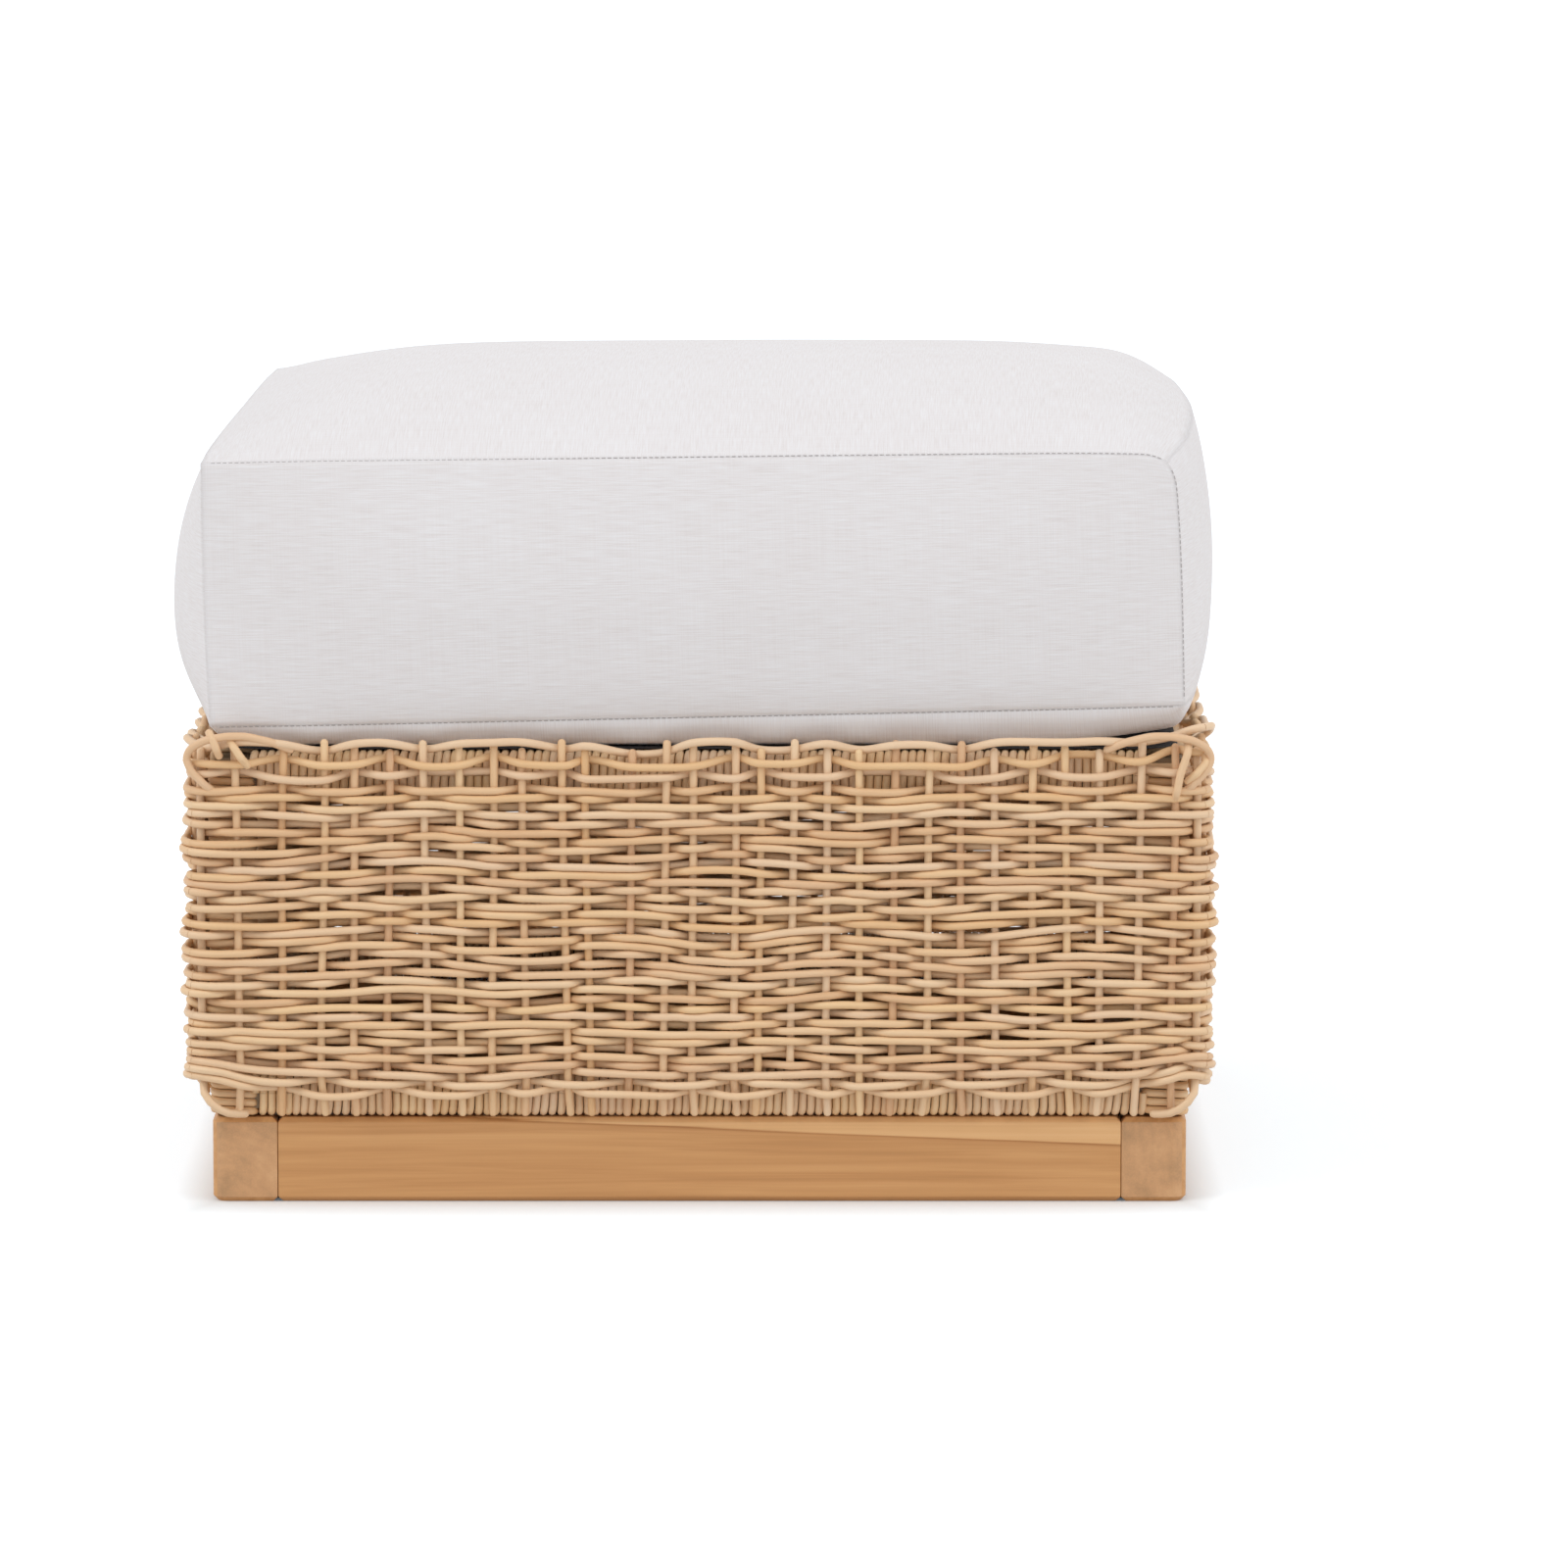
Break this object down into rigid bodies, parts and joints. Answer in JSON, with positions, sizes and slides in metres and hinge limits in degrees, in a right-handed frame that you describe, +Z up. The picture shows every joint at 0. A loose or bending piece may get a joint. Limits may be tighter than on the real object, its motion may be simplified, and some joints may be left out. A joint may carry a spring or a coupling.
{
  "type": "outdoor ottoman footstool",
  "caption": "Low square footstool: woven round-strand body over a tube frame on a timber plinth, with a thick loose box cushion zipped at the back.",
  "frame": {"origin": "on the floor, under the centre of the stool", "axes": "+Z up, -Y towards the front, +X to the right seen from the front; the zip is at the back, +Y"},
  "size_m": [0.668, 0.592, 0.5031],
  "materials": {
    "strand": "round resin strand, honey beige with lighter and darker streaks, low sheen",
    "timber": "oiled honey-brown hardwood with straight grain and eased edges",
    "frame": "beige powder coat on aluminium tube",
    "nylon": "moulded nylon",
    "steel": "stainless, brushed",
    "mesh_cloth": "charcoal coated mesh cloth with a fine open weave",
    "cover_cloth": "heathered off-white outdoor cloth with fine slubs",
    "foam": "open-cell foam in a wadding wrap",
    "zip_tape": "woven polyester tape"
  },
  "bodies": {
    "stool": {"weave_front": "strand", "foot_wrap_front": "strand", "rim_wrap_front": "strand", "plinth_front_rail": "timber", "frame_foot_front": "frame", "frame_rim_front": "frame", "weave_right": "strand", "foot_wrap_right": "strand", "rim_wrap_right": "strand", "plinth_right_rail": "timber", "frame_foot_right": "frame", "frame_rim_right": "frame", "weave_back": "strand", "foot_wrap_back": "strand", "rim_wrap_back": "strand", "plinth_back_rail": "timber", "frame_foot_back": "frame", "frame_rim_back": "frame", "weave_left": "strand", "foot_wrap_left": "strand", "rim_wrap_left": "strand", "plinth_left_rail": "timber", "frame_foot_left": "frame", "frame_rim_left": "frame", "frame_post_front_left": "frame", "post_wrap_front_left": "strand", "corner_stake_front_left": "strand", "frame_insert_front_left": "nylon", "frame_bolt_front_left": "steel", "frame_post_front_right": "frame", "post_wrap_front_right": "strand", "corner_stake_front_right": "strand", "frame_insert_front_right": "nylon", "frame_bolt_front_right": "steel", "frame_post_back_left": "frame", "post_wrap_back_left": "strand", "corner_stake_back_left": "strand", "frame_insert_back_left": "nylon", "frame_bolt_back_left": "steel", "frame_post_back_right": "frame", "post_wrap_back_right": "strand", "corner_stake_back_right": "strand", "frame_insert_back_right": "nylon", "frame_bolt_back_right": "steel", "deck_bar_left": "frame", "deck_bar_right": "frame", "deck_mesh": "mesh_cloth"},
    "cushion": {"cushion_cover": "cover_cloth", "cushion_foam": "foam", "zip_tape": "zip_tape", "zip_coil": "nylon"},
    "slider": {"zip_slider": "steel"},
    "pull": {"zip_pull": "steel"}
  },
  "joints": [
    {"name": "cushion_lift", "type": "slide", "parent": "stool", "child": "cushion", "axis": [0, 0, 1], "range_m": [0, 0.2]},
    {"name": "zip_run", "type": "slide", "parent": "cushion", "child": "slider", "axis": [-1, 0, 0], "range_m": [0, 0.356]},
    {"name": "pull_turn", "type": "hinge", "parent": "slider", "child": "pull", "pos_m": [0.178, 0.28035, 0.3776], "axis": [0, 0, -1], "range_deg": [0, 170]}
  ]
}
